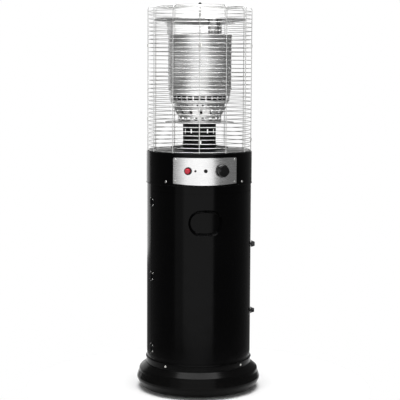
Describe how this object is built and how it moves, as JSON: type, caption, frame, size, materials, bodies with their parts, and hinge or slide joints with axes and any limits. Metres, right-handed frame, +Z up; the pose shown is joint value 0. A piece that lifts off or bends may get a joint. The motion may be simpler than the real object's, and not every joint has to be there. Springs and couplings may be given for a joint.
{
  "type": "outdoor heater",
  "caption": "Upright bottle-gas outdoor heater: round cabinet with a hinged door and latches, control head with knob and igniter, and a tall caged burner under a round reflector.",
  "frame": {"origin": "centre of the base, on the ground", "axes": "+Z up; the door and the control panel face -Y; +X to the right seen from the front"},
  "size_m": [0.445, 0.445, 1.3872],
  "materials": {
    "gloss_black_paint": "gloss",
    "satin_black_paint": "satin",
    "heat_black_paint": "satin",
    "stainless_sheet": "brushed",
    "heat_worn_stainless": "satin",
    "zinc_fastener": "bright",
    "guard_wire_zinc": "bright",
    "galvanised_sheet": "satin",
    "black_plastic": "satin",
    "rubber_plug": "matte",
    "red_plastic": "gloss",
    "cast_alloy": "satin",
    "brass_fitting": "satin",
    "white_ceramic": "glazed"
  },
  "bodies": {
    "cabinet": {"base_bolts": "zinc_fastener", "base_collar": "gloss_black_paint", "base_floor": "satin_black_paint", "base_skirt": "gloss_black_paint", "body_hinge_leaves": "satin_black_paint", "burner_collar": "heat_worn_stainless", "burner_column": "heat_black_paint", "burner_cone": "heat_worn_stainless", "burner_flange": "heat_worn_stainless", "burner_head": "heat_black_paint", "burner_mount_ring": "heat_black_paint", "centre_bolt": "zinc_fastener", "control_panel": "stainless_sheet", "cover_screws": "zinc_fastener", "deflector_plate": "stainless_sheet", "emitter_cap": "heat_worn_stainless", "emitter_pan": "heat_worn_stainless", "emitter_screen": "heat_worn_stainless", "gas_inlet": "brass_fitting", "gas_jet": "brass_fitting", "gas_valve": "cast_alloy", "guard_clips": "zinc_fastener", "guard_nut": "black_plastic", "guard_panel_left": "guard_wire_zinc", "guard_panel_rear_left": "guard_wire_zinc", "guard_panel_rear_right": "guard_wire_zinc", "guard_panel_right": "guard_wire_zinc", "guard_top": "guard_wire_zinc", "head_shell": "gloss_black_paint", "head_top_plate": "gloss_black_paint", "heat_shield": "galvanised_sheet", "hinge_pins": "zinc_fastener", "igniter_bezel": "black_plastic", "igniter_body": "black_plastic", "igniter_nut": "galvanised_sheet", "latch_bushes": "black_plastic", "mixer_tube": "heat_worn_stainless", "panel_plugs": "rubber_plug", "pilot_burner": "galvanised_sheet", "rear_shell": "gloss_black_paint", "reflector_brackets": "heat_worn_stainless", "shell_screws": "zinc_fastener", "small_screws": "zinc_fastener", "spark_electrode": "white_ceramic", "supply_pipe": "brass_fitting", "thermocouple": "galvanised_sheet", "tilt_switch": "black_plastic", "top_reflector": "stainless_sheet"},
    "door": {"front_door": "gloss_black_paint", "door_hinge_leaves": "satin_black_paint", "door_hinge_screws": "zinc_fastener", "door_keepers": "galvanised_sheet"},
    "latch_upper": {"latch_knob_upper": "black_plastic", "latch_cam_upper": "galvanised_sheet"},
    "latch_lower": {"latch_knob_lower": "black_plastic", "latch_cam_lower": "galvanised_sheet"},
    "knob_press": {"stem_washer": "zinc_fastener"},
    "knob": {"control_knob": "black_plastic", "valve_stem": "brass_fitting"},
    "igniter": {"igniter_button": "red_plastic"}
  },
  "joints": [
    {"name": "door_swing", "type": "hinge", "parent": "cabinet", "child": "door", "pos_m": [-0.17997, -0.06338, 0.417], "axis": [0, 0, -1], "range_deg": [0, 110]},
    {"name": "latch_upper_turn", "type": "hinge", "parent": "cabinet", "child": "latch_upper", "pos_m": [0.18291, -0.03888, 0.525], "axis": [0.9781, -0.2079, 0], "range_deg": [0, 90]},
    {"name": "latch_lower_turn", "type": "hinge", "parent": "cabinet", "child": "latch_lower", "pos_m": [0.18291, -0.03888, 0.283], "axis": [0.9781, -0.2079, 0], "range_deg": [-40, 50]},
    {"name": "knob_push", "type": "slide", "parent": "cabinet", "child": "knob_press", "axis": [-0.2907, 0.9568, 0], "range_m": [0, 0.003], "stiffness_N_per_m": 1500, "springref_m": -0.002},
    {"name": "knob_turn", "type": "hinge", "parent": "knob_press", "child": "knob", "pos_m": [0.05523, -0.1818, 0.801], "axis": [0.2907, -0.9568, 0], "range_deg": [0, 180]},
    {"name": "igniter_push", "type": "slide", "parent": "cabinet", "child": "igniter", "axis": [0.3256, 0.9455, 0], "range_m": [0, 0.007], "stiffness_N_per_m": 1200, "springref_m": -0.003}
  ]
}
